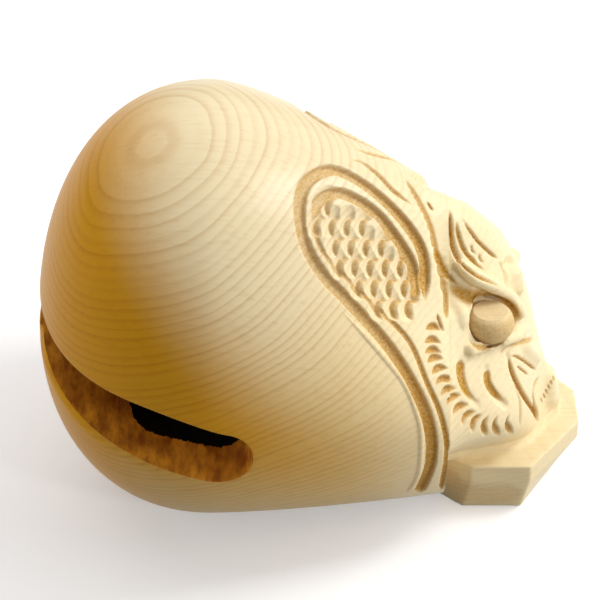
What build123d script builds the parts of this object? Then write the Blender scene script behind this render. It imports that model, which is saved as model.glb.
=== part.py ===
"""Mokugyo: a hollow wooden fish drum, glued up from two shells and a handle carved as a dragon's head.

Millimetres. +X runs from the mouth slot to the handle, +Y goes across from flank to flank, +Z is up.
The origin is on the floor, under the middle of the object's length.
"""

import math
import os

from build123d import *

# Overall length along X: the mouth end is the front, the chin is the back.
LENGTH = 149.0
FRONT_X = -LENGTH / 2
CHIN_X = LENGTH / 2

# The bell: a blunt dome that runs back from its widest station to a narrower, ridged neck.
BELL_WIDE_X = -27.5
BELL_HALF_WIDTH = 61.0
BELL_TOP_Z = 113.0
BELL_WAIST_Z = 51.0
BELL_KEEL_Z = -2.0
BELL_BLUNTNESS = 2.15
BELL_POLE_Z = 49.0
NECK_X = 35.5
NECK_HALF_WIDTH = 42.7
NECK_TOP_Z = 85.5
NECK_WAIST_Z = 37.5
NECK_SHOULDER_PULL = 0.8
TAPER_POWER = 1.55
FRONT_STATION_COUNT = 7
REAR_STATION_COUNT = 6
POLE_LEAD = 0.12

# The hollow that gives the note, and the mouth sawn into it: a slot that falls and widens to a round end.
WALL = 16.0
FLANK_WALL = 14.0
KEEL_WALL = 13.0
HOLLOW_BACK_X = 13.0
MOUTH_END_X = -24.0
MOUTH_END_Z = 46.0
MOUTH_END_RADIUS = 7.75
MOUTH_FRONT_HEIGHT = 11.0
MOUTH_ARCH = 2.25
MOUTH_ARCH_REACH = 22.0
MOUTH_TILT = 12.0
MOUTH_OVERRUN = 4.0

# The dowels across the glue line of the two shells, placed from the mouth's round end.
DOWEL_RADIUS = 4.0
DOWEL_LENGTH = 24.0
FRONT_DOWEL_REACH = 27.0
FRONT_DOWEL_Y = 41.0
REAR_DOWEL_REACH = 45.0
REAR_DOWEL_Y = 30.0

# The handle's tenon, gripped between the shells.
TENON_RADIUS = 13.0
TENON_LENGTH = 13.0

# Room left for glue round a peg, and past its end.
GLUE_GAP = 0.05
END_GAP = 0.5

# The dragon's head: a wedge that falls from the neck to the beard.
HEAD_KEEL_Z = -2.0
HEAD_WAIST_SHARE = 0.435
HEAD_HIP_PULL = 0.56
HEAD_SHOULDER_PULL = 0.8
NAPE_HALF_WIDTH = 42.7
NAPE_TOP_Z = 85.5
BROW_X = 46.0
BROW_HALF_WIDTH = 34.5
BROW_TOP_Z = 78.5
SNOUT_X = 55.5
SNOUT_HALF_WIDTH = 25.5
SNOUT_TOP_Z = 64.5
LIP_X = 63.0
LIP_HALF_WIDTH = 11.5
LIP_TOP_Z = 38.0
BEARD_X = 69.0
BEARD_HALF_WIDTH = 7.0
BEARD_TOP_Z = 24.0

# The chin slab: a level shelf with a short upright edge, drawn in below to a smaller foot.
JAW_ROOT_HALF_WIDTH = 21.5
JAW_CHEEK_X = 43.4
JAW_CORNER_X = 59.5
JAW_HALF_WIDTH = 27.0
JAW_TIP_HALF_WIDTH = 7.0
JAW_TOP_Z = 16.0
JAW_EDGE_Z = 10.5
JAW_FOOT_INSET = 2.0
JAW_FOOT_X = 68.0

# The turned eyes, pegged into round sockets.
EYE_X = 46.8
EYE_Y = 18.8
EYE_Z = 59.1
EYE_LOOK_X = 0.35
EYE_LOOK_Y = 0.7
EYE_LOOK_Z = 0.55
EYE_RADIUS = 6.0
EYE_SEAT = 3.5
EYE_FACET = 4.6
SOCKET_MOAT = 0.8
SOCKET_DEPTH = 30.0
PEG_RADIUS = 2.5
PEG_LENGTH = 8.0

# The carving's main lines. Each point is a share of the way back, and a turn in degrees from keel to crown.
PANEL_RADIUS = 1.6
PANEL_LINE = [
    (0.90, 138.0),
    (0.89, 153.0),
    (0.82, 161.0),
    (0.675, 167.5),
    (0.525, 169.0),
    (0.415, 163.0),
    (0.38, 154.5),
    (0.47, 137.5),
    (0.595, 130.0),
    (0.745, 119.0),
    (0.855, 107.0),
    (0.915, 95.5),
    (0.93, 80.0),
    (0.89, 56.0),
]
ARCH_RADIUS = 1.5
ARCH_LINE = [
    (0.865, 136.5),
    (0.85, 147.5),
    (0.79, 154.5),
    (0.675, 161.0),
    (0.54, 162.0),
    (0.46, 157.5),
    (0.435, 151.0),
]
BORDER_RADIUS = 0.8
BORDER_LINE = [
    (0.435, 151.0),
    (0.46, 144.0),
    (0.585, 136.5),
    (0.715, 130.0),
    (0.83, 122.0),
    (0.90, 110.0),
    (0.945, 99.0),
    (0.955, 86.0),
    (0.94, 62.0),
]
BROW_RIDGE_RADIUS = 1.9
BROW_RIDGE_LINE = [(0.055, 155.0), (0.13, 152.5), (0.225, 152.5), (0.42, 152.0)]
MUZZLE_RIDGE_RADIUS = 1.7
MUZZLE_RIDGE_LINE = [(0.10, 121.5), (0.215, 126.5), (0.37, 136.0)]
GILL_RADIUS = 1.4
GILL_LINE = [(0.055, 118.0), (0.055, 112.5), (0.08, 106.5), (0.14, 101.5)]
LIP_FOLD_LINE = [(0.19, 114.5), (0.19, 109.5), (0.23, 105.0), (0.31, 101.0)]
MOUTH_CUT_RADIUS = 1.0
MOUTH_CUT_LINE = [(0.32, 123.5), (0.36, 115.5), (0.45, 108.5), (0.74, 98.5)]


def section(x, half_width, waist_z, top_z, keel_z, shoulder_pull, hip_pull=1.0):
    """The outline across the object at x, drawn in at the shoulders above the waist and at the hips below it."""
    diagonal = math.sqrt(0.5)
    side = diagonal * half_width
    shoulder_y = side * shoulder_pull
    shoulder_z = waist_z + diagonal * shoulder_pull * (top_z - waist_z)
    hip_y = side * hip_pull
    hip_z = waist_z - diagonal * (waist_z - keel_z)
    with BuildSketch(Plane(origin=(x, 0, 0), x_dir=(0, 1, 0), z_dir=(1, 0, 0))) as outline:
        with BuildLine():
            Spline(
                (half_width, waist_z),
                (shoulder_y, shoulder_z),
                (0, top_z),
                (-shoulder_y, shoulder_z),
                (-half_width, waist_z),
                (-hip_y, hip_z),
                (0, keel_z),
                (hip_y, hip_z),
                periodic=True,
            )
        make_face()
    return outline.sketch


def front_station(step):
    """Section sizes of the blunt front, from just behind its pole."""
    along = math.cos(math.radians(90 * (step + POLE_LEAD) / FRONT_STATION_COUNT))
    fullness = (1 - along**BELL_BLUNTNESS) ** (1 / BELL_BLUNTNESS)
    x = BELL_WIDE_X - along * (BELL_WIDE_X - FRONT_X)
    waist_z = BELL_POLE_Z + (BELL_WAIST_Z - BELL_POLE_Z) * fullness
    top_z = BELL_POLE_Z + (BELL_TOP_Z - BELL_POLE_Z) * fullness
    keel_z = BELL_POLE_Z + (BELL_KEEL_Z - BELL_POLE_Z) * fullness
    return x, BELL_HALF_WIDTH * fullness, waist_z, top_z, keel_z, 1.0


def rear_station(step):
    """Section sizes of the tapering back, from the widest station to the neck."""
    share = step / (REAR_STATION_COUNT - 1)
    taper = share**TAPER_POWER
    x = BELL_WIDE_X + share * (NECK_X - BELL_WIDE_X)
    half_width = BELL_HALF_WIDTH + taper * (NECK_HALF_WIDTH - BELL_HALF_WIDTH)
    waist_z = BELL_WAIST_Z + taper * (NECK_WAIST_Z - BELL_WAIST_Z)
    top_z = BELL_TOP_Z + taper * (NECK_TOP_Z - BELL_TOP_Z)
    pull = 1.0 + taper * (NECK_SHOULDER_PULL - 1.0)
    return x, half_width, waist_z, top_z, BELL_KEEL_Z, pull


def head_station(x, half_width, top_z):
    """Section sizes of the head at one station."""
    return x, half_width, HEAD_WAIST_SHARE * top_z, top_z, HEAD_KEEL_Z, HEAD_SHOULDER_PULL


def skin_point(x, half_width, waist_z, top_z, keel_z, shoulder_pull, turn):
    """A point on the right flank of a section; the turn runs from 0 at the keel to 180 at the crown."""
    angle = math.radians(turn)
    if turn < 90:
        return x, -half_width * math.sin(angle), waist_z - (waist_z - keel_z) * math.cos(angle)
    draw_in = 1 - (1 - shoulder_pull) * math.sin(2 * angle) ** 2
    z = waist_z - (top_z - waist_z) * math.cos(angle) * draw_in
    return x, -half_width * math.sin(angle) * draw_in, z


def on_bell(line):
    """A carving's line as points on the bell's tapering back."""
    return [skin_point(*rear_station(share * (REAR_STATION_COUNT - 1)), turn) for share, turn in line]


def on_head(line):
    """A carving's line as points on the head, along the smooth run of its stations."""
    points = []
    for share, turn in line:
        station = head_run @ share
        points.append(skin_point(*head_station(station.X, station.Y, station.Z), turn))
    return points


def round_stroke(points, radius):
    """A round bar along points on the wood, to leave proud or to cut away."""
    with BuildPart() as bar:
        with BuildLine() as line:
            Spline(*points)
        with BuildSketch(Plane(origin=line.line @ 0, z_dir=line.line % 0)):
            Circle(radius)
        sweep()
        with Locations(line.line @ 0, line.line @ 1):
            Sphere(radius)
    return bar.part


def eye_plane(side):
    """The plane an eye sits on, its own z the way the eye looks."""
    look = Vector(EYE_LOOK_X, side * EYE_LOOK_Y, EYE_LOOK_Z)
    return Plane(origin=(EYE_X, side * EYE_Y, EYE_Z), z_dir=look).offset(-EYE_SEAT)


LEFT = 1
RIGHT = -1
fall = math.tan(math.radians(MOUTH_TILT))
floor = Plane.XY
middle = Plane.XZ
head_stations = [
    (NECK_X, NAPE_HALF_WIDTH, NAPE_TOP_Z),
    (BROW_X, BROW_HALF_WIDTH, BROW_TOP_Z),
    (SNOUT_X, SNOUT_HALF_WIDTH, SNOUT_TOP_Z),
    (LIP_X, LIP_HALF_WIDTH, LIP_TOP_Z),
    (BEARD_X, BEARD_HALF_WIDTH, BEARD_TOP_Z),
]
head_run = Edge.make_spline([Vector(*station) for station in head_stations])
seam = Plane(origin=(MOUTH_END_X, 0, MOUTH_END_Z), x_dir=(1, 0, -fall), z_dir=(fall, 0, 1))
mouth_side = Plane(origin=seam.origin, x_dir=seam.x_dir, z_dir=middle.z_dir)
neck = Plane(origin=(NECK_X, 0, MOUTH_END_Z - fall * (NECK_X - MOUTH_END_X)), z_dir=(-1, 0, 0))
upright = (Align.CENTER, Align.CENTER, Align.MIN)
dowel_spots = [
    (FRONT_DOWEL_REACH, FRONT_DOWEL_Y),
    (FRONT_DOWEL_REACH, -FRONT_DOWEL_Y),
    (REAR_DOWEL_REACH, REAR_DOWEL_Y),
    (REAR_DOWEL_REACH, -REAR_DOWEL_Y),
]

# The hollow: an egg that leaves the wall all round and stops short of the handle's tenon.
hollow_front_x = FRONT_X + WALL
hollow_top_z = BELL_TOP_Z - WALL
with BuildPart() as hollow:
    Sphere(1)
    scale(
        by=(
            (HOLLOW_BACK_X - hollow_front_x) / 2,
            BELL_HALF_WIDTH - FLANK_WALL,
            (hollow_top_z - KEEL_WALL) / 2,
        )
    )

# The bell as it stands glued up: turned, hollowed, with its mouth sawn through and the joints bored.
with BuildPart() as bell:
    front_sections = [section(*front_station(i)) for i in range(FRONT_STATION_COUNT)]
    rear_sections = [section(*rear_station(i)) for i in range(REAR_STATION_COUNT)]
    loft(sections=front_sections + rear_sections)
    split(bisect_by=middle, keep=Keep.TOP)
    add(round_stroke(on_bell(PANEL_LINE), PANEL_RADIUS), mode=Mode.SUBTRACT)
    add(round_stroke(on_bell(ARCH_LINE), ARCH_RADIUS), mode=Mode.SUBTRACT)
    add(round_stroke(on_bell(BORDER_LINE), BORDER_RADIUS), mode=Mode.SUBTRACT)
    mirror(about=middle)
    split(bisect_by=floor, keep=Keep.TOP)
    with Locations(((HOLLOW_BACK_X + hollow_front_x) / 2, 0, (hollow_top_z + KEEL_WALL) / 2)):
        add(hollow.part, mode=Mode.SUBTRACT)
    with BuildSketch(mouth_side):
        with BuildLine():
            front = FRONT_X - MOUTH_END_X - MOUTH_OVERRUN
            ThreePointArc(
                (front, MOUTH_FRONT_HEIGHT / 2),
                (-MOUTH_ARCH_REACH, MOUTH_END_RADIUS + MOUTH_ARCH),
                (0, MOUTH_END_RADIUS),
            )
            ThreePointArc((0, MOUTH_END_RADIUS), (MOUTH_END_RADIUS, 0), (0, -MOUTH_END_RADIUS))
            Line((0, -MOUTH_END_RADIUS), (front, -MOUTH_FRONT_HEIGHT / 2))
            Line((front, -MOUTH_FRONT_HEIGHT / 2), (front, MOUTH_FRONT_HEIGHT / 2))
        make_face()
    extrude(amount=BELL_HALF_WIDTH + MOUTH_OVERRUN, both=True, mode=Mode.SUBTRACT)
    with Locations(neck):
        Cylinder(TENON_RADIUS + GLUE_GAP, TENON_LENGTH + END_GAP, align=upright, mode=Mode.SUBTRACT)
    with Locations(seam):
        with Locations(dowel_spots):
            Cylinder(DOWEL_RADIUS + GLUE_GAP, DOWEL_LENGTH + 2 * END_GAP, mode=Mode.SUBTRACT)

# The struck upper shell.
with BuildPart() as upper_shell:
    add(bell.part)
    split(bisect_by=seam, keep=Keep.TOP)

# The lower shell, with the flat foot.
with BuildPart() as lower_shell:
    add(bell.part)
    split(bisect_by=seam, keep=Keep.BOTTOM)

# The four dowels that register the glue line.
with BuildPart() as rim_dowels:
    with Locations(seam):
        with Locations(dowel_spots):
            Cylinder(DOWEL_RADIUS, DOWEL_LENGTH)

# The handle: head, chin slab and tenon in one block, with the eye sockets bored.
with BuildPart() as handle:
    loft(sections=[section(*head_station(*station), HEAD_HIP_PULL) for station in head_stations])
    split(bisect_by=middle, keep=Keep.TOP)
    add(round_stroke(on_head(BROW_RIDGE_LINE), BROW_RIDGE_RADIUS))
    add(round_stroke(on_head(MUZZLE_RIDGE_LINE), MUZZLE_RIDGE_RADIUS))
    add(round_stroke(on_head(GILL_LINE), GILL_RADIUS), mode=Mode.SUBTRACT)
    add(round_stroke(on_head(LIP_FOLD_LINE), GILL_RADIUS), mode=Mode.SUBTRACT)
    add(round_stroke(on_head(MOUTH_CUT_LINE), MOUTH_CUT_RADIUS), mode=Mode.SUBTRACT)
    mirror(about=middle)
    split(bisect_by=floor, keep=Keep.TOP)
    with BuildSketch(Plane.XY.offset(JAW_EDGE_Z)) as jaw_plan:
        with BuildLine():
            Polyline(
                (NECK_X, -JAW_ROOT_HALF_WIDTH),
                (JAW_CHEEK_X, -JAW_HALF_WIDTH),
                (JAW_CORNER_X, -JAW_HALF_WIDTH),
                (CHIN_X, -JAW_TIP_HALF_WIDTH),
                (CHIN_X, JAW_TIP_HALF_WIDTH),
                (JAW_CORNER_X, JAW_HALF_WIDTH),
                (JAW_CHEEK_X, JAW_HALF_WIDTH),
                (NECK_X, JAW_ROOT_HALF_WIDTH),
                close=True,
            )
        make_face()
    extrude(amount=JAW_TOP_Z - JAW_EDGE_Z)
    with BuildSketch(floor) as jaw_foot:
        with BuildLine():
            Polyline(
                (NECK_X, -JAW_ROOT_HALF_WIDTH + JAW_FOOT_INSET),
                (JAW_CHEEK_X - JAW_FOOT_INSET, -JAW_HALF_WIDTH + JAW_FOOT_INSET),
                (JAW_CORNER_X - JAW_FOOT_INSET, -JAW_HALF_WIDTH + JAW_FOOT_INSET),
                (JAW_FOOT_X, -JAW_TIP_HALF_WIDTH),
                (JAW_FOOT_X, JAW_TIP_HALF_WIDTH),
                (JAW_CORNER_X - JAW_FOOT_INSET, JAW_HALF_WIDTH - JAW_FOOT_INSET),
                (JAW_CHEEK_X - JAW_FOOT_INSET, JAW_HALF_WIDTH - JAW_FOOT_INSET),
                (NECK_X, JAW_ROOT_HALF_WIDTH - JAW_FOOT_INSET),
                close=True,
            )
        make_face()
    loft(sections=[jaw_foot.sketch, jaw_plan.sketch])
    with Locations(neck):
        Cylinder(TENON_RADIUS, TENON_LENGTH, align=upright)
    with Locations(eye_plane(LEFT), eye_plane(RIGHT)):
        Cylinder(EYE_RADIUS + SOCKET_MOAT, SOCKET_DEPTH, align=upright, mode=Mode.SUBTRACT)
        Cylinder(
            PEG_RADIUS + GLUE_GAP,
            PEG_LENGTH + END_GAP,
            align=(Align.CENTER, Align.CENTER, Align.MAX),
            mode=Mode.SUBTRACT,
        )

# The eyes: a ball cut flat at the back, on a peg, with a level facet on top.
with BuildPart() as right_eye:
    with BuildPart(eye_plane(RIGHT)):
        with Locations((0, 0, EYE_SEAT)):
            Sphere(EYE_RADIUS)
        split(bisect_by=eye_plane(RIGHT), keep=Keep.TOP)
        Cylinder(PEG_RADIUS, PEG_LENGTH, align=(Align.CENTER, Align.CENTER, Align.MAX))
    split(bisect_by=Plane.XY.offset(EYE_Z + EYE_FACET), keep=Keep.BOTTOM)

with BuildPart() as left_eye:
    mirror(right_eye.part, about=middle)

upper_shell.part.label = "upper_shell"
lower_shell.part.label = "lower_shell"
rim_dowels.part.label = "rim_dowels"
handle.part.label = "handle"
left_eye.part.label = "left_eye"
right_eye.part.label = "right_eye"

os.makedirs("parts", exist_ok=True)
export_step(upper_shell.part, "parts/upper_shell.step")
export_step(lower_shell.part, "parts/lower_shell.step")
export_step(rim_dowels.part, "parts/rim_dowels.step")
export_step(handle.part, "parts/handle.step")
export_step(left_eye.part, "parts/left_eye.step")
export_step(right_eye.part, "parts/right_eye.step")
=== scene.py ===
"""The looks of a mokugyo: a hollow drum of pale oiled wood with a dragon's head for a handle. In metres."""

import math
from collections import namedtuple

import bmesh
import bpy
import numpy as np
from mathutils import Matrix, Vector
from mathutils.bvhtree import BVHTree


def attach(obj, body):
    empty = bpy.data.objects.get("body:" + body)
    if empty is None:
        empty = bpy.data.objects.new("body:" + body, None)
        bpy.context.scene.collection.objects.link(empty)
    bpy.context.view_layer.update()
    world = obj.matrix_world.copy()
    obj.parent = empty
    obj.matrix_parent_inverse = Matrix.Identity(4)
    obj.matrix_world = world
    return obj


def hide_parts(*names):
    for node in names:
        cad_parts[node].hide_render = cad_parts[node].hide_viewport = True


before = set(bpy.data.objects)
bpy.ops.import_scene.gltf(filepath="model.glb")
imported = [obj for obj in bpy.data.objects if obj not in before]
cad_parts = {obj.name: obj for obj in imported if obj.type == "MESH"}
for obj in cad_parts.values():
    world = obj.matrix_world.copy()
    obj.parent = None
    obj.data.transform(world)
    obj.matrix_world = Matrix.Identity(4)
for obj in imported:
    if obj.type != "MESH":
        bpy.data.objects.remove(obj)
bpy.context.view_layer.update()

# The camera: a long lens that looks down on the drum's right flank from well above the table.
# It comes first, because the carver's cuts are laid out through it.
CAMERA_ELEVATION = math.radians(36)
CAMERA_DISTANCE = 0.65
CAMERA_AIM = Vector((-0.0036, 0.0013, 0.0518))
FRAME_PIXELS = 600
PIXELS_PER_METRE = 3650
SENSOR_WIDTH = 36

camera_back = Vector((0, -math.cos(CAMERA_ELEVATION), math.sin(CAMERA_ELEVATION)))
camera_turn = camera_back.to_track_quat("Z", "Y")
camera_place = CAMERA_AIM + CAMERA_DISTANCE * camera_back
focal_pixels = PIXELS_PER_METRE * CAMERA_DISTANCE

camera = bpy.data.objects.new("camera", bpy.data.cameras.new("camera"))
camera.data.sensor_width = SENSOR_WIDTH
camera.data.lens = SENSOR_WIDTH * focal_pixels / FRAME_PIXELS
camera.location = camera_place
camera.rotation_euler = camera_turn.to_euler()
bpy.context.scene.collection.objects.link(camera)
bpy.context.scene.camera = camera


def sight_line(pixel):
    """The direction in which the camera sees a pixel of the 600 by 600 frame."""
    across = pixel[0] - FRAME_PIXELS / 2
    upward = FRAME_PIXELS / 2 - pixel[1]
    return (camera_turn @ Vector((across, upward, -focal_pixels))).normalized()


# The bell's blank: the sounding body, turned and spokeshaved from one pale block, before it is hollowed.
# One flank is shaped and carved, and the other is its mirror image.
BELL_FRONT_X = -0.0745
BELL_WIDE_X = -0.0275
BELL_HALF_WIDTH = 0.061
BELL_TOP_Z = 0.113
BELL_WAIST_Z = 0.051
BELL_KEEL_Z = -0.002
BELL_BLUNTNESS = 2.15
BELL_POLE_Z = 0.049
NECK_X = 0.0355
NECK_HALF_WIDTH = 0.0427
NECK_TOP_Z = 0.0855
NECK_WAIST_Z = 0.0375
NECK_SHOULDER_PULL = 0.8
TAPER_POWER = 1.55
CARVED_SHARE = 0.32
FRONT_ROWS = 48
PLAIN_ROWS = 12
CARVED_ROWS = 50
BELL_ROWS = FRONT_ROWS + PLAIN_ROWS + CARVED_ROWS
BELL_COLUMNS = 180
SAME_SPOT = 1e-7


def between(start, end, share):
    """The value that lies a share of the way from start to end."""
    return start + (end - start) * share


def bell_section(row):
    """The bell's section at a row from the front pole: x, half width, waist, top, keel, shoulder pull."""
    if row <= FRONT_ROWS:
        along = math.cos(math.pi / 2 * row / FRONT_ROWS)
        swell = max(0, 1 - along**BELL_BLUNTNESS) ** (1 / BELL_BLUNTNESS)
        return (
            between(BELL_WIDE_X, BELL_FRONT_X, along),
            BELL_HALF_WIDTH * swell,
            between(BELL_POLE_Z, BELL_WAIST_Z, swell),
            between(BELL_POLE_Z, BELL_TOP_Z, swell),
            between(BELL_POLE_Z, BELL_KEEL_Z, swell),
            1,
        )
    if row <= FRONT_ROWS + PLAIN_ROWS:
        share = CARVED_SHARE * (row - FRONT_ROWS) / PLAIN_ROWS
    else:
        share = between(CARVED_SHARE, 1, (row - FRONT_ROWS - PLAIN_ROWS) / CARVED_ROWS)
    taper = share**TAPER_POWER
    return (
        between(BELL_WIDE_X, NECK_X, share),
        between(BELL_HALF_WIDTH, NECK_HALF_WIDTH, taper),
        between(BELL_WAIST_Z, NECK_WAIST_Z, taper),
        between(BELL_TOP_Z, NECK_TOP_Z, taper),
        BELL_KEEL_Z,
        between(1, NECK_SHOULDER_PULL, taper),
    )


def bell_point(row, turn):
    """A point on the near flank; turn runs from 0 at the keel to pi at the crown."""
    x, half_width, waist, top, keel, pull = bell_section(row)
    if turn < math.pi / 2:
        return Vector((x, -half_width * math.sin(turn), waist - (waist - keel) * math.cos(turn)))
    draw_in = 1 - (1 - pull) * math.sin(2 * turn) ** 2
    side = half_width * math.sin(turn) * draw_in
    return Vector((x, -side, waist - (top - waist) * math.cos(turn) * draw_in))


bell_mesh = bmesh.new()
bmesh.ops.create_grid(bell_mesh, x_segments=BELL_ROWS, y_segments=BELL_COLUMNS, size=1)
for vert in bell_mesh.verts:
    vert.co = bell_point((vert.co.x + 1) / 2 * BELL_ROWS, (vert.co.y + 1) / 2 * math.pi)
bmesh.ops.remove_doubles(bell_mesh, verts=bell_mesh.verts, dist=SAME_SPOT)
bmesh.ops.recalc_face_normals(bell_mesh, faces=bell_mesh.faces)
if sum(face.normal.y for face in bell_mesh.faces) > 0:
    bmesh.ops.reverse_faces(bell_mesh, faces=bell_mesh.faces)

# The head's blank: the handle, roughed out to a dragon's crown, muzzle and flat jaw in the same wood.
# It is the solid of the frame with its saw cuts whittled soft. Its nape is drawn out first and sawn off
# square again afterwards, and the cheeks are cut back a little above the jaw.
HEAD_GRAIN = 0.00044
HEAD_SANDING = 5
HEAD_DRAW = 0.003
NAPE_TRIM = 0.0001
ON_PLANE = 1e-6
UNDERCUT = 0.11
UNDERCUT_FOOT_Z = 0.0161
UNDERCUT_DEEP_Z = 0.018
UNDERCUT_TOP_Z = 0.034


def worked(piece):
    """Applies an object's modifiers to its mesh."""
    bpy.context.view_layer.update()
    seen = piece.evaluated_get(bpy.context.evaluated_depsgraph_get())
    mesh = bpy.data.meshes.new_from_object(seen)
    piece.modifiers.clear()
    piece.data = mesh


def new_piece(name, mesh):
    """Turns a working mesh into an object of the scene."""
    data = bpy.data.meshes.new(name)
    mesh.to_mesh(data)
    mesh.free()
    piece = bpy.data.objects.new(name, data)
    bpy.context.scene.collection.objects.link(piece)
    return piece


def everything(mesh):
    """All the corners, edges and faces of a working mesh."""
    return mesh.verts[:] + mesh.edges[:] + mesh.faces[:]


def saw(mesh, point, offcut):
    """Saws a working mesh flat and drops the side that offcut points to."""
    bmesh.ops.bisect_plane(mesh, geom=everything(mesh), dist=SAME_SPOT, plane_co=point, plane_no=offcut,
                           clear_outer=True)


def cap(mesh):
    """Closes the open saw cuts of a working mesh."""
    bmesh.ops.holes_fill(mesh, edges=[edge for edge in mesh.edges if edge.is_boundary])


def drop_chips(mesh):
    """Clears away the loose chips that the whittling leaves beside a block."""
    waiting = set(mesh.verts)
    blocks = []
    while waiting:
        block_verts = [waiting.pop()]
        for vert in block_verts:
            neighbours = {edge.other_vert(vert) for edge in vert.link_edges} & waiting
            waiting -= neighbours
            block_verts.extend(neighbours)
        blocks.append(block_verts)
    blocks.remove(max(blocks, key=len))
    bmesh.ops.delete(mesh, geom=[vert for chip in blocks for vert in chip], context="VERTS")


head_mesh = bmesh.new()
head_mesh.from_mesh(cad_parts["handle"].data)
bmesh.ops.remove_doubles(head_mesh, verts=head_mesh.verts, dist=ON_PLANE)
saw(head_mesh, (NECK_X + NAPE_TRIM, 0, 0), (-1, 0, 0))
nape = [edge for edge in head_mesh.edges if edge.is_boundary]
drawn = bmesh.ops.extrude_edge_only(head_mesh, edges=nape)["geom"]
drawn_verts = [part for part in drawn if isinstance(part, bmesh.types.BMVert)]
bmesh.ops.translate(head_mesh, verts=drawn_verts, vec=(-HEAD_DRAW, 0, 0))
cap(head_mesh)
bmesh.ops.recalc_face_normals(head_mesh, faces=head_mesh.faces)
head = new_piece("head", head_mesh)
whittling = head.modifiers.new("whittling", "REMESH")
whittling.mode = "VOXEL"
whittling.voxel_size = HEAD_GRAIN
sanding = head.modifiers.new("sanding", "SMOOTH")
sanding.iterations = HEAD_SANDING
worked(head)
head_mesh = bmesh.new()
head_mesh.from_mesh(head.data)
drop_chips(head_mesh)
saw(head_mesh, (0, 0, 0), (0, 1, 0))
saw(head_mesh, (NECK_X, 0, 0), (-1, 0, 0))
for vert in head_mesh.verts:
    rising = (vert.co.z - UNDERCUT_FOOT_Z) / (UNDERCUT_DEEP_Z - UNDERCUT_FOOT_Z)
    falling = (UNDERCUT_TOP_Z - vert.co.z) / (UNDERCUT_TOP_Z - UNDERCUT_DEEP_Z)
    vert.co.y *= 1 - UNDERCUT * max(0, min(rising, falling))

# The carving: cut with gouge, chisel and knife into both blanks as one drawing, because the neck joint runs
# through it. Each stroke is a few pixels of the camera's frame dropped on to the wood, with its depth and its
# half widths in millimetres.
MM = 0.001
BROWN_AND_SHADE_SPREAD = 1.6
LIP_ROUNDING = 0.6
THINNEST = 1e-4
SOFT_SWELLING = 0
ROUNDED_LIP = -1
Stroke = namedtuple("Stroke", "path depth left right power ends stain")
surfaces = []


def rounded(points, steps=6):
    """A smooth line through a few points."""
    knots = np.array([points[0], *points, points[-1]], dtype=float)
    line = []
    for before, start, end, after in zip(knots, knots[1:], knots[2:], knots[3:]):
        for t in np.arange(steps) / steps:
            pull = (end - before) * t + (2 * before - 5 * start + 4 * end - after) * t**2
            line.append(start + (pull + (3 * start - 3 * end + after - before) * t**3) / 2)
    return [*line, knots[-1]]


def touch(pixel):
    """Where the camera's ray through a pixel first meets the wood, or nothing."""
    hits = [surface.ray_cast(camera_place, sight_line(pixel)) for surface in surfaces]
    hits = [hit for hit in hits if hit[0]]
    return min(hits, key=lambda hit: hit[3])[0] if hits else None


def stroke(pixels, depth, left, right=None, power=2, ends=(0.3, 0.3), stain=1.0):
    """One stroke: left and right are half widths seen along it; a negative depth leaves wood proud."""
    path = [touch(pixel) for pixel in rounded(pixels)]
    path = np.array([spot for spot in path if spot])
    return Stroke(path, depth * MM, left * MM, (right or left) * MM, power, ends, stain)


def mass(pixels, height, reach, ends=(0.3, 0.3), stain=0.0):
    """A soft swelling, or with a negative height a soft hollow, along a line."""
    return stroke(pixels, -height, reach, power=SOFT_SWELLING, ends=ends, stain=stain)


def eased(share):
    """0 to 1 with a soft start and stop."""
    share = np.clip(share, 0, 1)
    return share * share * (3 - 2 * share)


def reached(cut, points, normals):
    """Which points a stroke reaches, how much of its depth it has there, and on which side of it they are."""
    reach = max(cut.left, cut.right)
    inside = (points > cut.path.min(axis=0) - reach) & (points < cut.path.max(axis=0) + reach)
    near = np.nonzero(inside.all(axis=1))[0]
    spots = points[near]
    runs = np.diff(cut.path, axis=0)
    lengths = np.linalg.norm(runs, axis=1)
    passed = np.concatenate([[0], np.cumsum(lengths)])
    nearest = np.full(len(near), np.inf)
    side = np.zeros(len(near))
    along = np.zeros(len(near))
    for start, run, length, before in zip(cut.path, runs, lengths, passed):
        share = np.clip((spots - start) @ run / length**2, 0, 1)
        offset = spots - start - share[:, None] * run
        distance = np.linalg.norm(offset, axis=1)
        closer = distance < nearest
        nearest[closer] = distance[closer]
        along[closer] = (before + share[closer] * length) / passed[-1]
        side[closer] = (np.cross(normals[near][closer], run) * offset[closer]).sum(axis=1)
    taper = np.ones(len(near))
    for end, gone in zip(cut.ends, (along, 1 - along)):
        if end:
            taper *= eased(gone / end)
    width = np.where(side > 0, cut.left, cut.right) * np.sqrt(np.maximum(taper, THINNEST))
    t = np.clip(nearest / width, 0, 1)
    if cut.power == ROUNDED_LIP:
        profile = LIP_ROUNDING * (1 - t) ** 2
    elif cut.power == SOFT_SWELLING:
        profile = np.cos(np.pi / 2 * t) ** 2
    else:
        profile = 1 - t**cut.power
    return near, profile * np.sqrt(taper), side > 0


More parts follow.
